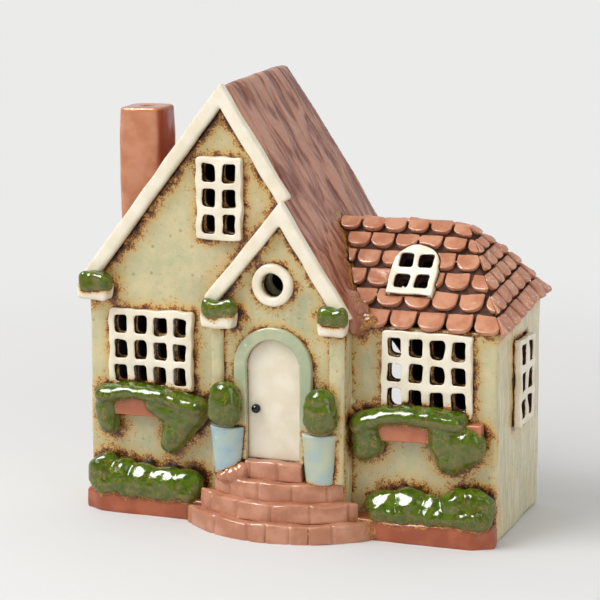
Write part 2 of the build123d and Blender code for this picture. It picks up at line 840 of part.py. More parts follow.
# Brick steps, each a slab with a round front, scored with upright mortar joints. The third one is as
# wide as the porch where they meet. The pots stand on it, so the fourth lies between them.
left_pot_x = door_x - door_width / 2 - left_pot_beside_door
right_pot_x = door_x + door_width / 2 + right_pot_beside_door
between_low = left_pot_x + pot_top_radius + lute
between_high = right_pot_x - pot_top_radius - lute
step_y = front + step_centre_behind_front
pot_step_radius = hypot(porch_width / 2, step_y - porch_front)
for number in range(1, steps + 1):
    radius = pot_step_radius + (steps - 1 - number) * tread
    low = (number - 1) * riser
    top = number * riser
    lift = lute if low else 0
    first_angle = 270 + bond_turn + brick_angle * ((number + 1) % 2) / 2
    reach = int(90 / brick_angle)
    with BuildPart() as step:
        with BuildSketch(Plane.XY.offset(low + lift)):
            with Locations((porch_middle, step_y)):
                Circle(radius)
            with Locations((porch_middle, porch_front - lute)):
                Rectangle(2 * radius, 2 * radius, align=(Align.CENTER, Align.MAX), mode=Mode.INTERSECT)
            if number == steps:
                with Locations((between_low, step_y)):
                    Rectangle(
                        between_high - between_low,
                        2 * radius,
                        align=(Align.MIN, Align.MAX),
                        mode=Mode.INTERSECT,
                    )
        extrude(amount=top - low - lift)
        fillet(step.edges().filter_by(GeomType.CIRCLE).group_by(Axis.Z)[-1], step_edge)
        for joint in range(-reach, reach + 1):
            angle = radians(first_angle + joint * brick_angle)
            place = (porch_middle + radius * cos(angle), step_y + radius * sin(angle), low + lift)
            if place[1] < porch_front - mortar_width - lute:
                with Locations(Location(place, (0, 0, first_angle + joint * brick_angle))):
                    Box(2 * mortar_depth, mortar_width, top - low, align=upright, mode=Mode.SUBTRACT)
    finish(step, f"step_{number}")

# Pots and clipped bushes, half round, standing on the third step
stand_y = relief_front - lute
pot_foot = pot_stand + lute
pot_top = pot_foot + pot_height
for name, pot_x in (("left", left_pot_x), ("right", right_pot_x)):
    rings = ((pot_foot, pot_foot_radius, pot_foot_depth), (pot_top, pot_top_radius, pot_top_depth))
    with BuildPart() as pot:
        for height, half_width, depth in rings:
            with BuildSketch(Plane.XY.offset(height)):
                with Locations((pot_x, stand_y)):
                    Ellipse(half_width, depth)
                    Rectangle(2 * half_width, depth, align=(Align.CENTER, Align.MAX), mode=Mode.INTERSECT)
        loft()
    finish(pot, f"pot_{name}")
    bush_x = pot_x - bush_radius
    bush = clump(bush_x, pot_top + lute, 2 * bush_radius, bush_height, stand_y, bush_depth, bush_round)
    finish(bush, f"bush_{name}")

# Plinths along the front, with a hedge on each
plinths = (
    ("left", left, porch_left - lute, left_plinth_depth, left, porch_left - left_hedge_gap),
    ("wing", seam + lute, right, wing_plinth_depth, seam + wing_hedge_gap, right),
)
for name, low_x, high_x, depth, hedge_x, hedge_end in plinths:
    with BuildPart() as plinth:
        with BuildSketch(facing(front - lute)):
            with Locations((low_x, 0)):
                Rectangle(high_x - low_x, plinth_height, align=low_left)
        extrude(amount=depth)
    finish(plinth, f"plinth_{name}")
    hedge_foot = plinth_height + lute
    hedge = clump(
        hedge_x, hedge_foot, hedge_end - hedge_x, hedge_height, front - lute, hedge_depth, hedge_round
    )
    finish(hedge, f"hedge_{name}")

# Window boxes under the two front windows, and the ivy that hangs over them: a band along the top of
# the box, a long lobe at its right end and a short one beside its left end
wide_frame = frame_size(wide_columns, pane_pitch_across, pane_width)
box_face = front - lute - box_depth
boxes = (
    (
        "left",
        left_window_x - wide_frame / 2 - box_past_window,
        left_window_x + wide_frame / 2 + box_past_window,
        left_box_low,
        left + left_ivy_inset,
        porch_left - left_ivy_gap,
        left_short_over_hedge,
    ),
    (
        "wing",
        wing_window_x - wide_frame / 2 - box_past_window,
        right - wing_box_inset,
        wing_box_low,
        seam + wing_ivy_gap,
        right - wing_ivy_inset,
        wing_short_over_hedge,
    ),
)
for name, box_x, box_end, low, ivy_x, ivy_end, short_over_hedge in boxes:
    with BuildPart() as window_box:
        with BuildSketch(facing(front - lute)):
            with Locations((box_x, low)):
                Rectangle(box_end - box_x, box_height, align=low_left)
        extrude(amount=box_depth)
    finish(window_box, f"window_box_{name}")
    top = low + box_height
    lobe_x = ivy_end - ivy_lobe_width
    long_low = hedge_top + ivy_over_hedge
    short_low = hedge_top + short_over_hedge
    lumps = (
        (ivy_x, top - ivy_band / 2, ivy_end - ivy_x, ivy_band, box_face - lute, ivy_depth),
        (lobe_x, low, ivy_lobe_width, box_height, box_face - lute, ivy_depth),
        (lobe_x, long_low, ivy_lobe_width, low - lute - long_low, front - lute, box_depth),
        (ivy_x, short_low, box_x - lute - ivy_x, top - short_low, front - lute, box_depth),
    )
    leaves = [clump(*lump, ivy_round).part for lump in lumps]
    with BuildPart() as ivy:
        add(leaves)
    finish(ivy, f"ivy_{name}")

# Tealight: cup, wick on its tab, and the wax around both
candle_foot = floor_slab + candle_clearance
with BuildPart() as tealight_cup:
    with Locations((0, 0, candle_foot)):
        Cylinder(cup_radius, cup_height, align=upright)
    with Locations((0, 0, candle_foot + cup_skin)):
        Cylinder(cup_radius - cup_skin, cup_height, align=upright, mode=Mode.SUBTRACT)
finish(tealight_cup, "tealight_cup")

tab_foot = candle_foot + cup_skin + wax_clearance
with BuildPart() as wick_tab:
    with BuildSketch(Plane.XY.offset(tab_foot)):
        Circle(tab_radius)
    extrude(amount=tab_thick)
finish(wick_tab, "wick_tab")

wick_foot = tab_foot + tab_thick + wax_clearance
with BuildPart() as tealight_wick:
    with BuildSketch(Plane.XY.offset(wick_foot)):
        Circle(wick_radius)
    extrude(amount=wick_height)
finish(tealight_wick, "tealight_wick")

with BuildPart() as tealight_wax:
    with BuildSketch(Plane.XY.offset(tab_foot)):
        Circle(cup_radius - cup_skin - wax_clearance)
    extrude(amount=wax_height)
    with BuildSketch(Plane.XY.offset(tab_foot)):
        Circle(tab_radius + wax_clearance)
    extrude(amount=tab_thick + wax_clearance, mode=Mode.SUBTRACT)
    with BuildSketch(Plane.XY.offset(tab_foot)):
        Circle(wick_radius + wax_clearance)
    extrude(amount=wax_height, mode=Mode.SUBTRACT)
finish(tealight_wax, "tealight_wax")
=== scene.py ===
# %% [markdown]
# # A glazed ceramic tealight house
# The CAD part is loaded first and stays where it is. Every piece made here is laid over it in the
# same frame: the origin is under the middle of the floor, X points to the wing, Y to the back and Z
# up, in metres. `mm` turns the millimetres that a potter would measure into metres.

# %% Load the CAD part
import bpy
import bmesh
import json
import math
import random
from functools import partial
from mathutils import Euler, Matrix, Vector, noise
from mathutils.bvhtree import BVHTree


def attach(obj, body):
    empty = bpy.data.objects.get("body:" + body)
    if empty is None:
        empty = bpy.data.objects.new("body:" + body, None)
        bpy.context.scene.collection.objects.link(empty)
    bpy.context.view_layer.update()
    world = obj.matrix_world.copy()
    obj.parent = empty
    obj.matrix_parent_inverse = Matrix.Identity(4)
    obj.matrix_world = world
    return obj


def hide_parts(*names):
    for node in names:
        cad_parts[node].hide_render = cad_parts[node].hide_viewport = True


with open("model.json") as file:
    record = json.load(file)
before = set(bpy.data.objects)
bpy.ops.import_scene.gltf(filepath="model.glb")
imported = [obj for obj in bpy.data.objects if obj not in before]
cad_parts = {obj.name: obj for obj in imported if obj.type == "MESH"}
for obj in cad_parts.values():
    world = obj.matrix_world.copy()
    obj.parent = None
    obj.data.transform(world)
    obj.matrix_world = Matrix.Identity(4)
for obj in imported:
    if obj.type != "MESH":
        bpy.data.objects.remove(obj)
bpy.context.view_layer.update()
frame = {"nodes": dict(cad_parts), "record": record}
nodes = frame["nodes"]
slot_of = {entry["node"]: entry["material_slot"] for entry in frame["record"]["subparts"]}
mm = 0.001

# %% [markdown]
# ## Camera
# The camera stands where the photographer's did: to the right of the door and a little above the
# ridge, far enough back that the upright edges lean in only slightly. A long lens gives that view.

# %% Camera
camera_data = bpy.data.cameras.new("camera")
camera_data.sensor_width = 36
camera_data.lens = 136.6
camera = bpy.data.objects.new("camera", camera_data)
bpy.context.scene.collection.objects.link(camera)
camera_place = Vector((314.22, -873.95, 262.59)) * mm
camera_target = Vector((5.39, -33.0, 93.49)) * mm
camera.location = camera_place
camera.rotation_euler = (camera_target - camera_place).to_track_quat("-Z", "Y").to_euler()
bpy.context.scene.camera = camera
bpy.context.scene.view_settings.view_transform = "Standard"
print("camera", tuple(round(v, 3) for v in camera.location))

# %% [markdown]
# ## Two tools for materials
# Colours are written as sRGB hex codes, as a colour picker gives them, and `linear` turns them into
# the values that Blender mixes. `add_node` adds one shader node, sets it and fills its sockets with
# values, or with links from other nodes, so that each material below reads from top to bottom.

# %% Two tools for materials
SMOOTH = {"interpolation_type": "SMOOTHSTEP"}
COLOUR = {"data_type": "RGBA"}
TIMES = {"operation": "MULTIPLY"}
TIMES_PLUS = {"operation": "MULTIPLY_ADD"}
SIZE_OF = {"operation": "ABSOLUTE"}
STRETCHED = {"vector_type": "TEXTURE"}


def linear(code):
    """Turns an sRGB hex colour into the linear colour that Blender mixes."""
    parts = [int(code[i:i + 2], 16) / 255 for i in (1, 3, 5)]
    return tuple(p / 12.92 if p <= 0.04045 else ((p + 0.055) / 1.055) ** 2.4 for p in parts) + (1.0,)


def add_node(tree, kind, settings=None, **inputs):
    """Adds a shader node; its inputs go by socket name, or by number as in0, in1 and so on."""
    made = tree.nodes.new("ShaderNode" + kind)
    for key, value in (settings or {}).items():
        setattr(made, key, value)
    for key, value in inputs.items():
        live = [socket for socket in made.inputs if socket.enabled]
        if key[2:].isdigit():
            socket = live[int(key[2:])]
        else:
            socket = next(s for s in live if s.name == key.replace("_", " "))
        if isinstance(value, bpy.types.Node):
            value = next(s for s in value.outputs if s.enabled)
        if isinstance(value, bpy.types.NodeSocket):
            tree.links.new(value, socket)
        else:
            socket.default_value = value
    return made


def start_material(name, rough, ior=1.5, metallic=0.0):
    """A new node material: gives the material, its tree, its shader and a way to add nodes to it."""
    material = bpy.data.materials.new(name)
    material.use_nodes = True
    tree = material.node_tree
    shader = tree.nodes["Principled BSDF"]
    shader.inputs["Roughness"].default_value = rough
    shader.inputs["Metallic"].default_value = metallic
    if not metallic:
        shader.inputs["IOR"].default_value = ior
    return material, tree, shader, partial(add_node, tree)


print("material tools ready")

# %% [markdown]
# ## Rust in the glaze
# On the real house the glaze is thick and clean on open faces. In the crevices it ran thin over an
# iron wash and burnt: first a tan tint, then orange freckles, then a dark purple brown. A painted
# edge would look airbrushed, so the colour comes from two things. A vertex attribute called `rust`,
# worked out further down, says how near the next piece is. A fine noise, with grains under a
# millimetre, then breaks the burnt glaze into freckles.

# %% Rust in the glaze
def burn(add, colour, tan, amount, stray=0.0):
    """Lays the tan tint and the rust freckles over a colour; gives the colour and the freckles' height.

    `stray` is the share of freckles that also turn up away from the crevices.
    """
    place = add("TexCoord").outputs["Object"]
    near = add("Attribute", {"attribute_name": "rust"}).outputs["Fac"]
    broad = add("TexNoise", Vector=place, Scale=1 / (8 * mm), Detail=2.0)
    patchy = add("MapRange", SMOOTH, Value=broad, From_Min=0.35, From_Max=0.65, To_Min=0.82, To_Max=1.12)
    near = add("Math", TIMES, in0=near, in1=patchy)
    tint = add("MapRange", SMOOTH, Value=near, From_Min=0.05, From_Max=0.75, To_Max=0.78)
    colour = add("Mix", COLOUR, Factor=tint, A=colour, B=linear(tan))
    fine = add("TexNoise", Vector=place, Scale=1 / (0.75 * mm), Detail=2.0)
    coarse = add("TexNoise", Vector=place, Scale=1 / (2.8 * mm), Detail=2.0)
    speck = add("Mix", Factor=0.45, A=fine, B=coarse)
    density = add("MapRange", SMOOTH, Value=near, From_Min=0.34, From_Max=1.0, To_Max=amount)
    contact = add("MapRange", SMOOTH, Value=near, From_Min=0.72, From_Max=1.0, To_Max=0.1)
    level = add("Math", in0=speck, in1=add("Math", in0=density, in1=contact))
    ramp = add("ValToRGB", Fac=level)
    stops = ramp.color_ramp.elements
    stops[0].position, stops[0].color = 0.58, linear("#CDA55C")
    stops[1].position, stops[1].color = 0.95, linear("#2E1F1B")
    for position, code in ((0.65, "#B9843F"), (0.72, "#935D2B"), (0.79, "#643C21"), (0.87, "#43291E")):
        stops.new(position).color = linear(code)
    edge = add("MapRange", SMOOTH, Value=level, From_Min=0.56, From_Max=0.65)
    close = add("MapRange", SMOOTH, Value=near, From_Min=0.03, From_Max=0.25, To_Min=stray)
    edge = add("Math", TIMES, in0=edge, in1=close)
    return add("Mix", COLOUR, Factor=edge, A=colour, B=ramp), level


print("rust recipe ready")

# %% [markdown]
# ## One recipe for most glazes
# Stoneware glaze is a layer of coloured glass over clay, so it is not metallic, its index of
# refraction is near 1.5 and it is glossy. Two close tones drift into one another over some
# millimetres. On ridges the glass runs thin and pale, in hollows it pools and turns darker: the mesh's
# own pointiness tells the two apart. A slow bump keeps the highlights from looking machine made.

# %% One recipe for most glazes
def glaze(name, first, second, drift, rough, tan, amount, pale=None, pool=None,
          wave=(5.0, 0.12), shade_side=None):
    """A glossy glaze in two tones, with rust in the crevices, pale ridges and dark pools.

    `drift` is the size of the clouds in mm, `wave` the size and the height of the bump in mm, and
    the last argument a darker colour painted as shade on the faces that look to the wing.
    """
    material, tree, shader, add = start_material(name, rough)
    place = add("TexCoord").outputs["Object"]
    clouds = add("TexNoise", Vector=place, Scale=1 / (drift * mm), Detail=3.0)
    share = add("MapRange", SMOOTH, Value=clouds, From_Min=0.36, From_Max=0.64)
    colour = add("Mix", COLOUR, Factor=share, A=linear(first), B=linear(second))
    shape = add("NewGeometry")
    point = shape.outputs["Pointiness"]
    if shade_side:
        # Painted shade: faces that look to +X, away from the key light, take the darker side colour
        right = add("SeparateXYZ", Vector=shape.outputs["Normal"])
        right = add("MapRange", SMOOTH, Value=right, From_Min=0.3, From_Max=0.8)
        colour = add("Mix", COLOUR, Factor=right, A=colour, B=linear(shade_side))
    if pale:
        ridge = add("MapRange", SMOOTH, Value=point, From_Min=0.515, From_Max=0.58, To_Max=0.75)
        colour = add("Mix", COLOUR, Factor=ridge, A=colour, B=linear(pale))
    if pool:
        hollow = add("MapRange", SMOOTH, Value=point, From_Min=0.49, From_Max=0.43, To_Max=0.85)
        colour = add("Mix", COLOUR, Factor=hollow, A=colour, B=linear(pool))
    colour, level = burn(add, colour, tan, amount)
    tree.links.new(colour.outputs[2], shader.inputs["Base Color"])
    slow = add("TexNoise", Vector=place, Scale=1 / (wave[0] * mm), Detail=2.0)
    height = add("Math", TIMES_PLUS, in0=level, in1=0.3, in2=slow)
    bump = add("Bump", Height=height, Distance=wave[1] * mm)
    tree.links.new(bump.outputs[0], shader.inputs["Normal"])
    return material


# A sage stoneware glaze for the walls: clouded green and cream, with brush marks down the end wall
def wall_glaze(name):
    """The walls' glaze: soft clouds, small pits, and pale brush marks where a wall faces sideways."""
    material, tree, shader, add = start_material(name, 0.2)
    place = add("TexCoord").outputs["Object"]
    clouds = add("TexNoise", Vector=place, Scale=1 / (11 * mm), Detail=6.0, Roughness=0.72)
    share = add("MapRange", SMOOTH, Value=clouds, From_Min=0.32, From_Max=0.66)
    colour = add("Mix", COLOUR, Factor=share, A=linear("#B8B68E"), B=linear("#CFC197"))
    run = add("Mapping", STRETCHED, Vector=place, Scale=(1, 1, 2.2))
    runs = add("TexNoise", Vector=run, Scale=1 / (13 * mm), Detail=4.0, Roughness=0.6)
    runs = add("MapRange", SMOOTH, Value=runs, From_Min=0.53, From_Max=0.7, To_Max=0.5)
    colour = add("Mix", COLOUR, Factor=runs, A=colour, B=linear("#97A083"))
    tall = add("Mapping", STRETCHED, Vector=place, Scale=(1, 1, 12))
    marks = add("TexNoise", Vector=tall, Scale=1 / (1.8 * mm), Detail=2.0)
    side = add("SeparateXYZ", Vector=add("NewGeometry").outputs["Normal"])
    side = add("Math", SIZE_OF, in0=side)
    side = add("MapRange", SMOOTH, Value=side, From_Min=0.5, From_Max=0.9)
    brushed = add("MapRange", SMOOTH, Value=marks, From_Min=0.45, From_Max=0.66, To_Max=0.7)
    brushed = add("Math", TIMES, in0=brushed, in1=side)
    colour = add("Mix", COLOUR, Factor=brushed, A=colour, B=linear("#DDD3B4"))
    cell = add("TexVoronoi", Vector=place, Scale=1 / (4.5 * mm))
    pit = add("MapRange", SMOOTH, Value=cell.outputs["Distance"], From_Min=0.2, From_Max=0.1)
    some = add("SeparateXYZ", Vector=cell.outputs["Color"])
    some = add("MapRange", SMOOTH, Value=some, From_Min=0.55, From_Max=0.75, To_Max=0.65)
    pit = add("Math", TIMES, in0=pit, in1=some)
    colour = add("Mix", COLOUR, Factor=pit, A=colour, B=linear("#A08D5E"))
    colour, level = burn(add, colour, "#CDAC69", 0.285, 0.3)
    tree.links.new(colour.outputs[2], shader.inputs["Base Color"])
    slow = add("TexNoise", Vector=place, Scale=1 / (6 * mm), Detail=3.0)
    height = add("Math", TIMES_PLUS, in0=level, in1=0.25, in2=slow)
    grooves = add("Math", TIMES, in0=marks, in1=side)
    height = add("Math", TIMES_PLUS, in0=grooves, in1=0.4, in2=height)
    height = add("Math", TIMES_PLUS, in0=pit, in1=-0.6, in2=height)
    bump = add("Bump", Height=height, Distance=0.4 * mm)
    tree.links.new(bump.outputs[0], shader.inputs["Normal"])
    return material


sage = wall_glaze("sage_stoneware_glaze")
# White slip under a clear glaze: thick, warm white, with a tan line where it breaks
cream = glaze("cream_slip_glaze", "#EDE4D0", "#E5DAC1", 8, 0.18, "#CDB27E", 0.34)
# Celadon: a grey green glass, paler on its rounded edges
celadon = glaze("celadon_glaze", "#A3AE8E", "#B8B996", 7, 0.13, "#C6AF7B", 0.32, pale="#D5CFB2")
print("pale glazes:", sage.name, cream.name, celadon.name)

# %% [markdown]
# ## The combed red roof
# The main roof was combed down its slopes while wet, then covered with a red iron glaze. The paler
# pink tone on the ridges of the combing is a painted sheen, a reflection painted into the colour, and
# towards the eaves the colour turns darker and redder. A wave pattern would be too even, so a noise is
# stretched along the slope and bent a little; the same noise drives colour and bump, so that they
# agree. Folding the coordinates at the ridge makes the combing run down both slopes.

# %% The combed red roof
def roof_glaze(name):
    """Red iron glaze over combed clay, with a painted sheen on the ridges of the combing."""
    material, tree, shader, add = start_material(name, 0.15)
    place = add("TexCoord").outputs["Object"]
    parts = add("SeparateXYZ", Vector=place)
    # The ridge lies 27 mm to the left of the middle
    from_ridge = add("Math", SIZE_OF, in0=add("Math", in0=parts.outputs[0], in1=27 * mm))
    folded = add("CombineXYZ", X=from_ridge, Y=parts.outputs[1], Z=parts.outputs[2])
    pitch = (0, math.radians(57), 0)
    slope = add("Mapping", STRETCHED, Vector=folded, Rotation=pitch, Scale=(4, 1, 4))
    comb = add("TexNoise", Vector=slope, Scale=1 / (7.5 * mm), Detail=3.0, Distortion=1.4)
    broad = add("TexNoise", Vector=place, Scale=1 / (24 * mm), Detail=2.0)
    groove = add("Mix", Factor=0.3, A=comb, B=broad)
    share = add("MapRange", SMOOTH, Value=groove, From_Min=0.4, From_Max=0.58)
    # Painted sheen: the paler pink tone on the ridges of the combing stands for a reflection of the bright room
    colour = add("Mix", COLOUR, Factor=share, A=linear("#7C3C27"), B=linear("#BC856C"))
    # Darker and redder towards the eaves
    low = add("MapRange", SMOOTH, Value=parts.outputs[2], From_Min=0.13, From_Max=0.075, To_Max=0.6)
    colour = add("Mix", COLOUR, Factor=low, A=colour, B=linear("#86492F"))
    colour, level = burn(add, colour, "#77401F", 0.3)
    tree.links.new(colour.outputs[2], shader.inputs["Base Color"])
    bump = add("Bump", Height=comb, Distance=2.4 * mm)
    tree.links.new(bump.outputs[0], shader.inputs["Normal"])
    return material


iron_red = roof_glaze("combed_iron_red_glaze")
print("roof glaze:", iron_red.name)

# %% [markdown]
# ## Terracotta, brick and the other coloured glazes
# Shingles, chimney, bricks and boxes share one clay and differ in how thick the glaze lies, but the
# boxes' paler copy is painted light and the chimney's darker side is painted shade. Each has its own
# two tones, a pale tone for its ridges and a dark one for its joints. The pots are blue grey.

# %% Terracotta, brick and the other coloured glazes
# Thin clear glaze over red clay: pillowy shingles that shine along their lips
terracotta = glaze("terracotta_glaze", "#B67556", "#CB9070", 7, 0.11, "#8A4C2C", 0.34,
                   "#DDAE93", "#6B3A22", (4.0, 0.3))
# The same on the chimney, with a darker red painted as shade on the side that looks to the wing
chimney_red = glaze("chimney_glaze", "#B57450", "#C38766", 9, 0.12, "#965230", 0.3,
                    "#DCA98A", None, (8.0, 0.3), "#9C4B2D")
# Pinkish bricks with pale arrises and brown joints
brick = glaze("brick_glaze", "#B1775A", "#C58C70", 8, 0.09, "#9A5C38", 0.32,
              "#DDB39B", "#7C4830", (6.0, 0.25))
# Satin iron red on plinths and window boxes
oxide = glaze("iron_oxide_satin", "#984C2F", "#AA5C3B", 7, 0.28, "#7A3E22", 0.3,
              "#C08A68", "#5A2E1C", (7.0, 0.15))
# The same on the boxes, painted paler: painted light against the ivy's shadow that falls on them
box_oxide_lit = glaze("oxide_satin_painted_light", "#B26747", "#C07552", 7, 0.25, "#8A4A2A", 0.3,
                "#CC957A", "#6A3A24", (7.0, 0.15))
# Matt iron crust in the gaps between the shingles, where the glaze burnt dry
pooled = glaze("burnt_iron_crust", "#3A2116", "#5F361F", 3, 0.9, "#5C331B", 0.2, None, None, (2.5, 0.5))
# Pale blue glass over white slip, creamier on the right pot
sky_blue = glaze("pale_blue_glaze", "#ABBCB4", "#97B2BC", 7, 0.1, "#B7A583", 0.3, "#CBCDBD", None)
sky_cream = glaze("cream_blue_glaze", "#BBBFA4", "#A8BAB2", 7, 0.1, "#B7A583", 0.3, "#D0CFBC", None)
print("coloured glazes:", [coat.name for coat in (terracotta, chimney_red, brick, oxide, pooled, sky_blue)])

# %% [markdown]
# ## Leaf green
# Copper green glaze is thick and bright where it settled on the tops of hedge and ivy. On their
# fronts it drained, so it is thinner, browner and shows tan lines on every ridge. The surface normal
# tells tops from fronts, and a noise keeps the border ragged.

# %% Leaf green
def leaf_glaze(name):
    """Copper green glaze, bright on top and thin with tan ridges on the fronts."""
    material, tree, shader, add = start_material(name, 0.05, 1.55)
    place = add("TexCoord").outputs["Object"]
    shape = add("NewGeometry")
    up = add("SeparateXYZ", Vector=shape.outputs["Normal"]).outputs[2]
    ragged = add("TexNoise", Vector=place, Scale=1 / (5 * mm), Detail=3.0)
    drift = add("Math", in0=up, in1=ragged)
    mottle = add("TexNoise", Vector=place, Scale=1 / (3.2 * mm), Detail=3.0)
    share = add("MapRange", SMOOTH, Value=mottle, From_Min=0.4, From_Max=0.6)
    thin = add("Mix", COLOUR, Factor=share, A=linear("#68672F"), B=linear("#4E5C1B"))
    thick = add("Mix", COLOUR, Factor=share, A=linear("#3D520C"), B=linear("#536D10"))
    top = add("MapRange", SMOOTH, Value=drift, From_Min=0.38, From_Max=0.9)
    colour = add("Mix", COLOUR, Factor=top, A=thin, B=thick)
    vein = add("TexNoise", Vector=place, Scale=1 / (2.6 * mm), Detail=1.0)
    ridge = add("Math", SIZE_OF, in0=add("Math", in0=vein, in1=-0.5))
    line = add("MapRange", SMOOTH, Value=ridge, From_Min=0.0, From_Max=0.04, To_Min=0.85, To_Max=0.0)
    bare = add("MapRange", SMOOTH, Value=ragged, From_Min=0.42, From_Max=0.56)
    line = add("Math", TIMES, in0=line, in1=bare)
    colour = add("Mix", COLOUR, Factor=line, A=colour, B=linear("#8F6F38"))
    colour, level = burn(add, colour, "#7C6C34", 0.26)
    tree.links.new(colour.outputs[2], shader.inputs["Base Color"])
    bump = add("Bump", Height=ragged, Distance=0.35 * mm)
    tree.links.new(bump.outputs[0], shader.inputs["Normal"])
    return material


leaf = leaf_glaze("copper_green_glaze")
print("leaf glaze:", leaf.name)

# %% [markdown]
# ## Small and hidden surfaces
# The knob, the bare foot, the inside, painted nearly black as painted shade, and the tealight need no
# rust. Two close tones of noise are enough to keep them from looking like plastic.

# %% Small and hidden surfaces
def mottled(name, code, rough, grain, ior=1.5, metallic=0.0):
    """A surface in two close tones, with a grain given in mm."""
    material, tree, shader, add = start_material(name, rough, ior, metallic)
    place = add("TexCoord").outputs["Object"]
    tone = add("TexNoise", Vector=place, Scale=1 / (grain * mm), Detail=3.0)
    shade = tuple(c * 0.82 for c in linear(code)[:3]) + (1.0,)
    colour = add("Mix", COLOUR, Factor=tone, A=linear(code), B=shade)
    tree.links.new(colour.outputs[2], shader.inputs["Base Color"])
    bump = add("Bump", Height=tone, Distance=0.05 * mm)
    tree.links.new(bump.outputs[0], shader.inputs["Normal"])
    return material


# Black glass on the knob: dark, with one small sharp glint
black_glass = mottled("black_glaze", "#15151A", 0.05, 2.0)
# Unglazed clay under the foot: dull brown without any shine
bare_clay = mottled("bare_stoneware", "#5E4C3F", 0.85, 1.5)
# Painted shade on the inside: nearly black, so that the panes read as holes
inside_shade = mottled("painted_shade_inside", "#1B1411", 0.8, 4.0)
# Pressed foil of the cup: a grey mirror, blurred by the rolling
aluminium = mottled("pressed_aluminium", "#D4D4D6", 0.28, 3.0, metallic=1.0)
# Poured paraffin: off white with a broad, soft sheen
wax = mottled("paraffin_wax", "#F0ECE0", 0.45, 5.0, 1.43)
# Cotton stiff with wax: matt cream
cotton = mottled("waxed_cotton", "#DDD2B8", 0.9, 0.4)
coat_of = {
    "wall_glaze": sage, "cream_glaze": cream, "celadon_glaze": celadon, "black_glaze": black_glass,
    "roof_glaze": iron_red, "terracotta_glaze": terracotta, "brick_glaze": brick, "leaf_glaze": leaf,
    "pale_blue_glaze": sky_blue, "bare_clay": bare_clay, "tealight_metal": aluminium, "wax": wax,
    "cotton": cotton,
}
print(len(coat_of), "slots have a finish")

# %% [markdown]
# ## Stage and light
# A wide pale floor fills the picture, so there is no horizon. Far from the house the floor shows an
# even studio white to the camera, while near the house it takes the real soft shadow. The main soft
# box hangs over the left front and makes the white glints on the glaze; a weaker one fills from the
# right. The room in front of the house is dark, which keeps the glazes deep.

# %% Floor
bpy.ops.object.select_all(action="DESELECT")
bpy.ops.mesh.primitive_plane_add(size=16, location=(0, 0, 0))
floor = bpy.context.object
floor.name = "floor"
paper, paper_tree, paper_shader, add = start_material("matt_paper", 0.9)
paper_shader.inputs["Base Color"].default_value = linear("#DBDAD9")
paper_shader.inputs["Specular IOR Level"].default_value = 0.1
reach = add("VectorMath", {"operation": "LENGTH"}, in0=add("TexCoord").outputs["Object"]).outputs["Value"]
path = add("LightPath")
seen = add("Math", in0=path.outputs["Is Camera Ray"], in1=path.outputs["Is Glossy Ray"])
seen = add("Math", {"use_clamp": True}, in0=seen, in1=path.outputs["Is Transmission Ray"])
far = add("MapRange", SMOOTH, Value=reach, From_Min=0.13, From_Max=0.6)
even = add("Emission", Color=linear("#EBEBEA"), Strength=1.0)
mixed = add("MixShader", in0=add("Math", TIMES, in0=far, in1=seen), in1=paper_shader.outputs[0], in2=even)
paper_tree.links.new(mixed.outputs[0], paper_tree.nodes["Material Output"].inputs["Surface"])
floor.data.materials.append(paper)
print("floor", tuple(floor.dimensions))

# %% Light
world = bpy.data.worlds.new("studio")
world.use_nodes = True
bpy.context.scene.world = world
sky = world.node_tree.nodes["Background"]
sky.inputs["Color"].default_value = linear("#FFFFFF")
add = partial(add_node, world.node_tree)
front_back = add("SeparateXYZ", Vector=add("TexCoord").outputs["Generated"]).outputs[1]
dim = add("MapRange", SMOOTH, Value=front_back, From_Min=-0.5, From_Max=0.5, To_Min=0.14, To_Max=0.62)
level = add("Mix", Factor=add("LightPath").outputs["Is Glossy Ray"], A=0.66, B=dim)
world.node_tree.links.new(level.outputs[0], sky.inputs["Strength"])


def lamp(name, place, aim, size, power):
    """A soft box, aimed at a point."""
    data = bpy.data.lights.new(name, "AREA")
    data.shape = "RECTANGLE"
    data.size, data.size_y = size
    data.energy = power
    made = bpy.data.objects.new(name, data)
    bpy.context.scene.collection.objects.link(made)
    made.location = place
    made.rotation_euler = (Vector(aim) - Vector(place)).to_track_quat("-Z", "Y").to_euler()
    return made


middle = (0, 0, 0.08)
lamp("key", (-0.62, -0.6, 1.05), middle, (0.9, 0.9), 12.5)
lamp("fill", (0.95, -0.75, 0.6), middle, (0.5, 0.8), 2.5)
glints = lamp("glints", (-0.6, -0.62, 1.02), middle, (0.7, 0.6), 20)
glints.visible_diffuse = False

# %% [markdown]
# ## Working clay
# Every piece of the real house was cut from slabs and softened by hand, so it keeps the slab's plan
# and loses its edges. A bevel would round every edge alike; instead a copy of the CAD shape gets a
# voxel remesh, which turns it into even clay, a smooth, which rounds it, and a slow noise that pushes
# it about by a fraction of a millimetre. The copy is merged first, because CAD meshes are loose
# triangles.

# %% Tools for a copy
pieces = {}


def pick(*objects):
    """Selects only these objects; the first becomes the active one."""
    bpy.ops.object.select_all(action="DESELECT")
    for item in objects:
        item.select_set(True)
    bpy.context.view_layer.objects.active = objects[0]


def modify(item, kind, **settings):
    """Adds a modifier and applies it."""
    made = item.modifiers.new(kind.lower(), kind)
    for key, value in settings.items():
        setattr(made, key, value)
    pick(item)
    bpy.ops.object.modifier_apply(modifier=made.name)


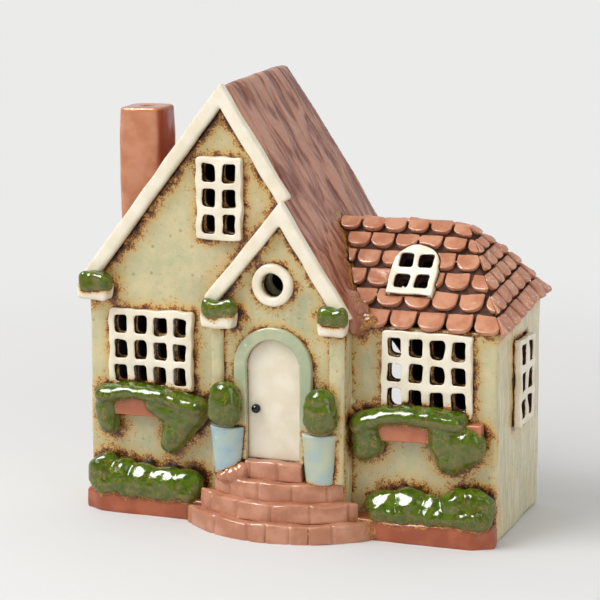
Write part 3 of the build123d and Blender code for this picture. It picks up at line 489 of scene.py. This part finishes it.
def copy_of(name, *sources):
    """Joins copies of CAD nodes into one new object, with the loose triangles merged."""
    copies = []
    for source in sources:
        made = bpy.data.objects.new(name, nodes[source].data.copy())
        bpy.context.scene.collection.objects.link(made)
        made.matrix_world = nodes[source].matrix_world
        copies.append(made)
    pick(*copies)
    if len(copies) > 1:
        bpy.ops.object.join()
    made = bpy.context.object
    made.name = made.data.name = name
    bpy.ops.object.transform_apply(location=True, rotation=True, scale=True)
    bpy.ops.object.mode_set(mode="EDIT")
    bpy.ops.mesh.select_all(action="SELECT")
    bpy.ops.mesh.remove_doubles(threshold=0.004 * mm)
    bpy.ops.mesh.normals_make_consistent(inside=False)
    bpy.ops.object.mode_set(mode="OBJECT")
    return made


print("copy tools ready")

# %% Tools for clay
# Blender's vector noise starts from the clock unless it is seeded, and the dents should stay put
noise.seed_set(11)


def balls_of(balls):
    """Adds flattened balls of clay: each is a centre and three half sizes in mm."""
    made = []
    for x, y, z, across, deep, high in balls:
        bpy.ops.object.select_all(action="DESELECT")
        bpy.ops.mesh.primitive_ico_sphere_add(subdivisions=3, radius=mm, location=(x * mm, y * mm, z * mm),
                                              scale=(across, deep, high))
        made.append(bpy.context.object)
    return made


def wobble(item, size, amount):
    """Pushes a piece about with a slow noise: size and amount are in mm."""
    seed = len(pieces) + 1
    shift = Vector((seed * 3.7, seed * 1.3, seed * 5.1))
    for vertex in item.data.vertices:
        vertex.co += noise.noise_vector(vertex.co / (size * mm) + shift) * amount * mm


def settle(item, sources, coat=None):
    """Finishes a piece: smooth shading, its glaze, its body and the CAD pieces it stands for."""
    pick(item)
    bpy.ops.object.shade_smooth()
    item.data.materials.clear()
    item.data.materials.append(coat or coat_of[slot_of[sources[0]]])
    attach(item, "house")
    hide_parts(*sources)
    pieces[item.name] = item
    print(item.name, len(item.data.polygons), "faces")


def clay(name, sources, voxel, rounds, size=9.0, amount=0.3, swell=0.0, coat=None, loose=None,
         press=None, more=()):
    """Copies CAD pieces, softens them like clay and puts them in place; all sizes are in mm.

    `voxel` is the grain of the clay, `rounds` how often it is smoothed, `size` and `amount` are the
    wobble's, `swell` fattens the copy, `loose` shuffles its parts, `press` moves single points by a rule and
    `more` adds balls of clay.
    """
    item = copy_of(name, *sources)
    if loose:
        shuffle(item, len(pieces), *loose)
    if swell:
        pick(item)
        bpy.ops.object.mode_set(mode="EDIT")
        bpy.ops.mesh.select_all(action="SELECT")
        bpy.ops.transform.shrink_fatten(value=swell * mm, use_even_offset=True)
        bpy.ops.object.mode_set(mode="OBJECT")
    if more:
        pick(item, *balls_of(more))
        bpy.ops.object.join()
        bpy.ops.object.transform_apply(location=True, rotation=True, scale=True)
    modify(item, "REMESH", mode="VOXEL", voxel_size=voxel * mm)
    modify(item, "SMOOTH", factor=0.5, iterations=rounds)
    wobble(item, size, amount)
    if press:
        moves = [press(v.co / mm, v.normal) * mm for v in item.data.vertices]
        for vertex, move in zip(item.data.vertices, moves):
            vertex.co += move
    settle(item, sources, coat)


print("clay tools ready")

# %% [markdown]
# ## Walls and roofs
# The outer walls were luted into one box, so they are softened together. The porch, its pilasters,
# the main roof and the chimney follow. Painted shade covers what faces the room inside: a nearly black
# second material is given to the faces that lie behind the outer skin, and down the flue.

# %% Walls and roofs
def step_up(value):
    """0 below 0, 1 above 1 and a smooth ramp between."""
    value = min(max(value, 0), 1)
    return value * value * (3 - 2 * value)


def corner_lift(p, n):
    """The wing's back corner was built higher, up to the lifted hip."""
    back_corner = step_up((p.x - 40) / 35) * step_up((p.y + 30) / 55)
    return Vector((0, 0, 5.0 * back_corner * step_up((p.z - 66) / 16)))


clay("walls", ["front_wall", "left_wall", "back_wall", "wing_front_wall", "wing_end_wall"], 1.1, 3, 22, 0.5,
     press=corner_lift)
clay("porch", ["porch_wall", "porch_cheek_left", "porch_cheek_right"], 0.7, 3, 18, 0.4,
     more=[(28.4, -34.0, 53.8, 1.4, 1.4, 1.4), (29.0, -34.0, 49.0, 1.3, 1.3, 1.3)])
clay("pilaster_posts", ["pilaster_left", "pilaster_right"], 0.45, 8, 9, 0.3, 0.2)


def roof_swell(p, n):
    """The right slope bellies out towards the back, and the ridge rises a little in the middle."""
    down = min(max((178 - p.z) / 85, 0), 1)
    lift = (0.5 + 1.1 * math.sin(math.pi * down ** 0.8)) * step_up((p.y + 40) / 70) * step_up((p.x + 32) / 8)
    ridge = 1.1 * step_up((p.z - 165) / 10) * math.sin(math.pi * min(max((p.y + 43) / 78, 0), 1))
    outward = Vector((0.84, 0, 0.54)) * lift if n.dot(Vector((0.84, 0, 0.54))) > -0.5 else Vector()
    return outward + Vector((0, 0, ridge))


# Clay pressed into the seam between the main roof and the wing, in front and behind
seam_lump = [
    (32.5, -35.0, 86.0, 3.6, 3.2, 3.2), (35.5, -34.6, 87.4, 3.6, 2.8, 2.8), (30.5, -36.0, 83.5, 2.6, 3.0, 2.6),
    (31.0, -32.2, 91.0, 3.4, 2.8, 3.4), (27.6, -31.0, 95.5, 2.6, 2.4, 3.0),
    (33.5, 32.8, 87.5, 4.2, 3.0, 4.2), (30.5, 32.6, 91.5, 3.6, 3.0, 3.8), (36.5, 33.0, 86.6, 3.6, 3.0, 2.8)]
clay("main_roof", ["main_roof_left", "main_roof_right", "porch_roof_left"], 0.9, 6, 16, 0.6,
     press=roof_swell, more=seam_lump)
flue_x, flue_y = -73.6, -3.0


def open_flue(p, n):
    """Keeps the flue open where the swelling closed it: points near its axis are pushed outwards."""
    away = Vector((p.x - flue_x, p.y - flue_y, 0))
    return away.normalized() * 0.9 * max(0, 1 - away.length / 6) if away.length > 0 else away


clay("chimney_stack", ["chimney"], 0.6, 22, 12, 0.5, 1.2, chimney_red, None, open_flue)

# %% Painted shade inside
def blacken(name, inside):
    """Gives the faces of a piece that lie inside the house an unglazed, nearly black painted shade."""
    mesh = pieces[name].data
    mesh.materials.append(inside_shade)
    shade_painted = [face for face in mesh.polygons if inside(face.center / mm, face.normal)]
    for face in shade_painted:
        face.material_index = 1
    print(len(shade_painted), "sooty faces in", name)


blacken("walls", lambda p, n: abs(p.x) < 86.6 and abs(p.y) < 31.6)
blacken("porch", lambda p, n: p.y > -41.6 and -26.5 < p.x < 26.5)
blacken("main_roof", lambda p, n: abs(p.y) < 31 and abs(p.x) < 86 and n.z < -0.3)
blacken("chimney_stack", lambda p, n: math.hypot(p.x - flue_x, p.y - flue_y) < 3.9 and n.z < 0.5)

# %% [markdown]
# ## Cream trim
# Bargeboards, kneelers, window frames and the door are thick, soft strips of white clay. More rounds
# of smoothing make the boards half round. The panes are left slightly crooked by the same noise that
# bends the frames.

# %% Cream trim
clay("main_boards", ["bargeboard_main_left", "bargeboard_main_right"], 0.42, 26, 12, 0.45, 0.15)
clay("porch_boards", ["bargeboard_porch_left", "bargeboard_porch_right"], 0.42, 26, 12, 0.45, 0.15)
def tuck(middle, p, n):
    """Pulls in the right end of a kneeler, which the potter rounded off."""
    return Vector((-2.2 * step_up((p.x - middle) / 8), 0, 0))


for name, middle in (("kneeler_main", -81.5), ("kneeler_porch_left", -23.2), ("kneeler_porch_right", 25.4)):
    clay(name + "_block", [name], 0.4, 120, 7, 0.5, 0.45, press=partial(tuck, middle))
for name in ("attic_window", "left_window", "wing_window", "end_window"):
    clay(name + "_frame", [name], 0.34, 6, 6, 0.7)


def press_in(p, n):
    """The roof window is pressed a little into the shingles."""
    return Vector((0, 0.5, -0.45))


clay("roof_window_frame", ["roof_window"], 0.34, 8, 7, 0.5, press=press_in)
clay("round_window_ring", ["round_window"], 0.35, 10, 9, 0.3, 0.15)
clay("door_leaf", ["door"], 0.4, 6, 12, 0.2, 0.3)
clay("door_band", ["door_surround"], 0.35, 12, 12, 0.3, 0.25)

# %% [markdown]
# ## Shingles
# The shingles are separate pads of clay, each laid a little askew, so every loose part of the copy
# is turned and resized on its own before it is softened. The potter built the roof up over the hips;
# `hip_swell` lifts shingles and roof boards there together. A thin roll of
# clay closes the ridge, and a burnt crust of iron shows in the gaps.

# %% Shingles
def shuffle(item, seed, turn, grow):
    """Turns and resizes each loose part of a piece a little on its own."""
    chance = random.Random(seed)
    mesh = bmesh.new()
    mesh.from_mesh(item.data)
    seen = set()
    for first in mesh.verts:
        if first.index in seen:
            continue
        island, edge = [first], [first]
        seen.add(first.index)
        while edge:
            for link in edge.pop().link_edges:
                for vertex in link.verts:
                    if vertex.index not in seen:
                        seen.add(vertex.index)
                        island.append(vertex)
                        edge.append(vertex)
        centre = sum((v.co for v in island), Vector()) / len(island)
        lean = Euler([chance.uniform(-turn, turn) for _ in range(3)]).to_matrix()
        size = 1 + chance.uniform(-grow, grow)
        for vertex in island:
            vertex.co = centre + lean @ (vertex.co - centre) * size
    mesh.to_mesh(item.data)
    mesh.free()


def hip_swell(p, n):
    """Lifts the wing's roof: most at the back corner of the hip, and a little along the ridge."""
    up_slope = min(max((p.z - 84) / 38, 0), 1)
    lift = 5.8 * (1 - up_slope ** 3) * step_up((p.x - 40) / 35) * step_up((p.y + 30) / 55)
    ridge = 1.4 * step_up((p.z - 100) / 15) * (1 - step_up((p.x - 52) / 20))
    return Vector((0.15 * lift, 0.05 * lift, lift + ridge))


def board_swell(p, n):
    """The same for the boards under the shingles, but only on top, so that they stay on the walls."""
    return hip_swell(p, n) * max(n.z, 0)


clay("wing_roof_boards", ["wing_roof_front", "wing_roof_back", "wing_roof_end"], 0.8, 3, 12, 0.3, 0.0, pooled,
     press=board_swell)
ridge_roll = [(x, 0.2, 120.9, 2.4, 1.7, 1.3) for x in range(14, 68, 3)]
for name in ("front_shingles", "back_shingles", "end_shingles"):
    clay(name + "_laid", [name], 0.33, 13, 7, 0.4, 0.08, None, (0.06, 0.04), hip_swell,
         ridge_roll if name == "back_shingles" else ())

# %% [markdown]
# ## Steps, plinths, boxes and pots
# These are softened copies too. The bricks get fewer rounds than the plinths, and the joints cut
# between them in the CAD shape are pressed deeper, so that they stay open.

# %% Steps, plinths, boxes and pots
# The middle of the round steps, the turn of their first joint and of a brick in degrees, and the tread
steps_y, first_joint, brick_turn, tread = -10.5, 271.2, 19.4, 4.2


def brick_joints(number, p, n):
    """Deepens the upright joints between the bricks of a step, which run out from its middle."""
    out = Vector((p.x, p.y - steps_y, 0))
    half = brick_turn / 2
    first = first_joint + half * ((number + 1) % 2)
    turn = (math.degrees(math.atan2(out.y, out.x)) - first + half) % brick_turn - half
    beside = abs(math.radians(turn)) * out.length
    rim = step_up((out.length - 47.0 + tread * (number - 1)) / 2.5)
    return -0.6 * step_up(1 - beside / 1.3) * rim * out.normalized()


# Clay under the left pot
pot_bed = [
    (-17.5, -47.5, 23.0, 4.5, 3.6, 4.2), (-21.5, -47.3, 22.0, 4.5, 3.6, 2.8), (-14.5, -47.0, 25.0, 3.0, 3.0, 3.6)]
for number in (1, 2, 3, 4):
    clay(f"step_{number}_bricks", [f"step_{number}"], 0.36, 10, 9, 0.7, 0.2,
         press=partial(brick_joints, number), more=pot_bed if number == 3 else ())


def lean_on_steps(p, n):
    """The left pot's foot is cut on a slant where it leans on the bricks."""
    return Vector((0, 0, 6.5 * min(max((34 - p.z) / 12, 0), 1) * min(max((p.x + 27.5) / 14, 0), 1)))


def round_end(end, p, n):
    """Rounds off the free front corner of a plinth, at the given end."""
    return Vector((0, 4.0 * step_up(1 - abs(p.x - end) / 9) * step_up((-34 - p.y) / 6), 0))


for side, end in (("left", -88), ("wing", 88)):
    clay(f"plinth_{side}_block", [f"plinth_{side}"], 0.6, 36, 14, 0.6, 0.7, oxide,
         press=partial(round_end, end))
    clay(f"window_box_{side}_block", [f"window_box_{side}"], 0.5, 8, 9, 0.3, 0.1, box_oxide_lit)
clay("pot_left_body", ["pot_left"], 0.4, 8, 9, 0.4, 0.15, sky_blue, None, lean_on_steps)
clay("pot_right_body", ["pot_right"], 0.4, 8, 9, 0.4, 0.15, sky_cream)

# %% [markdown]
# ## Greens
# Hedges, ivy, bushes and moss were pinched from balls of clay. So each one is a row of flattened
# icospheres, melted into one lump by a voxel remesh and dented by noise. Runs of ivy are balls strung
# along a stem. The pads of moss were pressed flat, so they are softened copies of the CAD shape.

# %% Tools for greens
def lumps(name, source, balls, dent, dent_size):
    """Presses balls of clay together into one green piece and dents it; sizes are in mm."""
    pick(*balls_of(balls))
    bpy.ops.object.join()
    item = bpy.context.object
    item.name = item.data.name = name
    bpy.ops.object.transform_apply(location=True, rotation=True, scale=True)
    modify(item, "REMESH", mode="VOXEL", voxel_size=0.45 * mm)
    modify(item, "SMOOTH", factor=0.5, iterations=8)
    wobble(item, dent_size, dent)
    modify(item, "SMOOTH", factor=0.5, iterations=2)
    settle(item, [source])


def along(points, y, deep, steps=9):
    """Balls strung along a line of (x, z, half size) points."""
    balls = []
    for (x0, z0, r0), (x1, z1, r1) in zip(points, points[1:]):
        for step in range(steps):
            t = step / (steps - 1)
            r = r0 + (r1 - r0) * t
            balls.append((x0 + (x1 - x0) * t, y, z0 + (z1 - z0) * t, r, deep, r))
    return balls


print("green tools ready")

# %% Hedges
lumps("hedge_left_leaves", "hedge_left", [
    (-79.5, -37.3, 16.0, 8, 6, 8.2), (-71, -37.5, 15.2, 8, 6.2, 7.5), (-62, -37.6, 14.5, 8.5, 6.2, 7.0),
    (-52, -37.6, 14.0, 9, 6.2, 6.8), (-42.5, -37.4, 13.8, 8, 6, 6.5)]
    + along([(-79.5, 12.2, 5.8), (-42, 11.2, 5.4)], -37.8, 6.4), 1.0, 6.0)
lumps("hedge_wing_leaves", "hedge_wing", [
    (44.5, -37.8, 13.6, 9.5, 6.2, 6.8), (54, -38, 14.2, 9, 6.4, 7.4), (64, -37.8, 13.2, 7.5, 6.2, 6.4),
    (74, -38, 15, 8.5, 6.4, 8.0), (80.5, -37.6, 15.8, 8, 6.2, 8.2)]
    + along([(42, 11.2, 5.6), (82, 11.6, 5.8)], -38.2, 6.6), 1.0, 6.0)

# %% Ivy
lumps("ivy_left_leaves", "ivy_left",
      along([(-78.5, 49.5, 4.4), (-66, 51.9, 3.6), (-52, 50.6, 3.8), (-37.2, 46.4, 4.7)], -37.6, 6.2)
      + along([(-78.3, 48.0, 5.4), (-78.6, 41, 5.2), (-77.2, 36.4, 4.2)], -36.6, 5.2)
      + along([(-56.5, 47.6, 4.6), (-50.5, 44, 5.4), (-38.5, 44.5, 5.8), (-46, 38.5, 7.4), (-49.2, 31.2, 4.8)],
              -36.8, 5.8),
      0.45, 4.5)
lumps("ivy_wing_leaves", "ivy_wing",
      along([(33.5, 46, 5.2), (42, 50.0, 4.0), (52, 51.2, 4.0), (64, 50.4, 4.6), (72.5, 49.6, 4.4)], -37.6, 6.2)
      + along([(34.5, 45, 6.4), (36, 39, 7.0), (34.8, 36.2, 5.6)], -36.8, 5.8)
      + along([(66, 48, 5.8), (68.5, 40, 7.6), (76, 40.6, 8.4), (70.5, 35, 7.0)], -36.8, 6.0), 0.45, 4.5)

# %% Bushes and moss
for side, x in (("left", -20.8), ("right", 19.9)):
    lumps(f"bush_{side}_leaves", f"bush_{side}", [
        (x, -49.4, 48.8, 7.3, 5.2, 6.4), (x, -49.4, 52.5, 7.2, 5.2, 6.6), (x, -49.2, 56, 6.3, 4.8, 5.9)],
        0.5, 4.5)
def droop(p, n):
    """The pads of moss hang a little over the front of the kneelers."""
    return Vector((0, -0.7, -1.6))


for name in ("main", "porch_left", "porch_right"):
    clay(f"moss_{name}_leaves", [f"moss_{name}"], 0.4, 22, 6, 1.3, 1.0, press=droop)

# %% [markdown]
# ## Pieces that stay as the CAD made them
# The floor slab, the knob and the tealight only need their finish. The pieces that something else
# stands for get one too, so that no surface is left bare.

# %% Pieces that stay as the CAD made them
for name, node in nodes.items():
    node.data.materials.clear()
    node.data.materials.append(pooled if name.startswith("wing_roof") else coat_of[slot_of[name]])
print("finishes on", len(nodes), "CAD nodes")

# %% [markdown]
# ## Where the rust goes
# For every point of a piece, the distance to its neighbours tells how deep in a crevice it lies. The
# result is written to the `rust` attribute that the glazes read: 1 against the neighbour, 0 at the
# reach given in millimetres. Inside the panes the glaze is burnt dark all over: rust, with painted
# shade for the depth of the recess.

# %% Tools for rust
def tree_of(*names):
    """One search tree over several pieces."""
    points, faces = [], []
    for name in names:
        mesh = pieces[name].data
        base = len(points)
        points += [v.co for v in mesh.vertices]
        faces += [[base + i for i in p.vertices] for p in mesh.polygons]
    return BVHTree.FromPolygons(points, faces)


def in_pane(co, low, high, out, depth):
    """True for a point down inside a frame's panes: behind its face and clear of its outer edge."""
    side = 1 if out.x > 0.5 else 0
    clear = low[side] + 1.9 < co[side] < high[side] - 1.9
    return clear and low.z + 1.7 < co.z < high.z - 1.7 and depth > 0.9


def rust(name, *neighbours, out=None):
    """Writes the rust attribute: each neighbour is a list of pieces, a reach in mm and a strength.

    For a window frame, `out` is the way it faces, and the insides of its panes are made dark:
    the darkest burnt rust, which also serves as painted shade down in the recess.
    """
    mesh = pieces[name].data
    values = [0.0] * len(mesh.vertices)
    if out:
        places = [v.co / mm for v in mesh.vertices]
        low = Vector([min(p[i] for p in places) for i in range(3)])
        high = Vector([max(p[i] for p in places) for i in range(3)])
        face = max(p.dot(out) for p in places)
        # Down in the panes: the darkest rust, which also stands as painted shade in the recess
        values = [1.25 * (v.normal.dot(out) < 0.55 and in_pane(p, low, high, out, face - p.dot(out)))
                  for v, p in zip(mesh.vertices, places)]
    for names, reach, strength in neighbours:
        tree = tree_of(*names)
        for index, vertex in enumerate(mesh.vertices):
            distance = tree.find_nearest(vertex.co, reach * mm)[3]
            if distance is not None:
                values[index] = max(values[index], strength * (1 - distance / (reach * mm)))
    attribute = mesh.attributes.new("rust", "FLOAT", "POINT")
    attribute.data.foreach_set("value", values)
    print("rust on", name, round(sum(values) / len(values), 3))


# %% Rust on walls and roofs
greens_left = ["hedge_left_leaves", "ivy_left_leaves"]
greens_wing = ["hedge_wing_leaves", "ivy_wing_leaves"]
greens = greens_left + greens_wing
bushes = ["bush_left_leaves", "bush_right_leaves"]
kneelers = ["kneeler_main_block", "kneeler_porch_left_block", "kneeler_porch_right_block"]
casements = ["attic_window_frame", "left_window_frame", "wing_window_frame", "end_window_frame"]
steps = [f"step_{n}_bricks" for n in (1, 2, 3, 4)]
pots = ["pot_left_body", "pot_right_body"]
plinths = ["plinth_left_block", "plinth_wing_block"]
rust("walls", (greens, 9.0, 1.0), (["main_boards"], 10.0, 1.0), (kneelers, 10.0, 1.0), (casements, 6.5, 0.9),
     (["porch_boards"], 7.0, 0.9), (["porch"], 6.0, 0.75), (steps, 8.0, 0.9),
     (["front_shingles_laid", "end_shingles_laid"], 8.0, 0.9), (["main_roof"], 11.0, 1.0))
rust("porch", (["door_band"], 5.0, 0.85), (["round_window_ring"], 5.5, 0.85), (["porch_boards"], 8.0, 0.95),
     (kneelers, 9.0, 1.0), (bushes, 9.0, 1.0), (pots, 7.0, 0.9), (["pilaster_posts"], 4.0, 0.85),
     (steps, 5.5, 0.9), (greens, 8.0, 0.9))
rust("pilaster_posts", (kneelers, 5.0, 0.8), (bushes + pots, 5.0, 0.8), (["porch"], 1.4, 0.6))
rust("main_roof", (["front_shingles_laid", "back_shingles_laid"], 6.0, 0.9), (["chimney_stack"], 5.0, 0.9))

# %% Rust on the trim
for name in ("main_boards", "porch_boards"):
    rust(name, (["walls", "porch"], 1.4, 0.75), (kneelers, 2.4, 0.7))
for name in kneelers:
    moss = name.replace("kneeler", "moss").replace("block", "leaves")
    rust(name, (["walls", "porch"], 1.8, 0.85), ([moss], 2.2, 0.85))
for name in casements:
    faces_out = Vector((1, 0, 0)) if name == "end_window_frame" else Vector((0, -1, 0))
    rust(name, (["walls"], 1.4, 0.85), (greens, 3.0, 0.85), out=faces_out)
rust("roof_window_frame", (["front_shingles_laid"], 1.8, 0.85), out=Vector((0, -0.74, 0.67)))
rust("round_window_ring", (["porch"], 1.5, 0.85))
rust("door_leaf", (["door_band"], 1.2, 0.4))
rust("door_band", (["porch"], 1.2, 0.8), (bushes + pots, 3.0, 0.9))

# %% Rust in the garden
for name in steps:
    rust(name, (greens, 6.0, 0.85), (pots, 3.0, 0.8), (plinths, 4.0, 0.75))
for side, near in (("left", greens_left), ("wing", greens_wing)):
    rust(f"plinth_{side}_block", (near, 2.0, 0.7), (steps, 3.0, 0.75))
    rust(f"window_box_{side}_block", (near, 1.5, 0.6), (["walls"], 1.5, 0.8))
for name in pots:
    rust(name, (["porch", "pilaster_posts"], 1.5, 0.8), (steps, 1.5, 0.8))
for name in greens + bushes:
    rust(name, (["walls", "porch"], 1.8, 0.9), (plinths + pots, 1.5, 0.8))
for name in ("main", "porch_left", "porch_right"):
    rust(f"moss_{name}_leaves", (kneelers, 1.3, 0.8))
